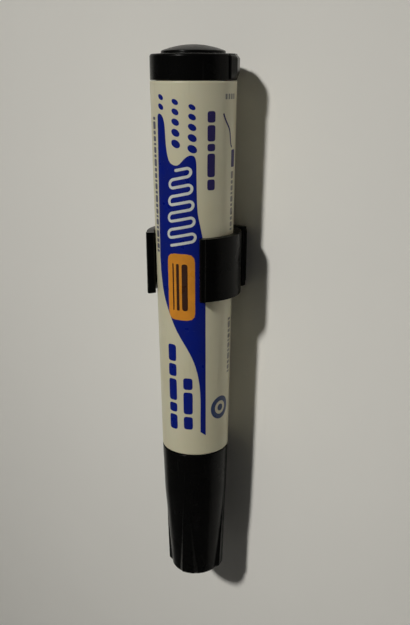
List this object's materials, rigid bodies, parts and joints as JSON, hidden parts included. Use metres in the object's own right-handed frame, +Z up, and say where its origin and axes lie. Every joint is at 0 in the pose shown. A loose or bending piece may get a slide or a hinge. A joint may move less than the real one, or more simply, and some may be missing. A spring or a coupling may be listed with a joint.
{
  "type": "felt tip marker",
  "caption": "Capped felt tip marker with a tapered printed barrel, standing cap down in a C-shaped spring clip with a foam-backed wall plate. The cap pulls off and the marker lifts out.",
  "frame": {"origin": "on the marker's axis, at the flat closed end of the cap", "axes": "+Z up along the marker's axis towards the end plug, -Y out of the clip's mouth, +Y towards the wall"},
  "size_m": [0.022, 0.0221, 0.1314],
  "materials": {
    "barrel_plastic": "off-white semi-gloss moulded plastic, printed",
    "plug_plastic": "black satin moulded plastic",
    "holder_plastic": "white moulded plastic",
    "nib_fibre": "ink-soaked bonded fibre",
    "reservoir_fibre": "ink-soaked bundled fibre",
    "sleeve_film": "thin clear film",
    "cap_plastic": "black semi-gloss moulded plastic",
    "seal_plastic": "natural soft plastic",
    "clip_plastic": "black semi-gloss spring plastic",
    "pad_foam": "closed-cell foam tape"
  },
  "bodies": {
    "holder": {"clip_body": "clip_plastic", "clip_adhesive_pad": "pad_foam"},
    "marker": {"barrel": "barrel_plastic", "end_plug": "plug_plastic", "nib_holder": "holder_plastic", "nib": "nib_fibre", "ink_reservoir": "reservoir_fibre", "reservoir_sleeve": "sleeve_film"},
    "cap": {"cap_shell": "cap_plastic", "cap_inner_seal": "seal_plastic"}
  },
  "joints": [
    {"name": "marker_slide", "type": "slide", "parent": "holder", "child": "marker", "axis": [0, 0, 1], "range_m": [0, 0.1]},
    {"name": "cap_slide", "type": "slide", "parent": "marker", "child": "cap", "axis": [0, 0, -1], "range_m": [0, 0.045]}
  ]
}
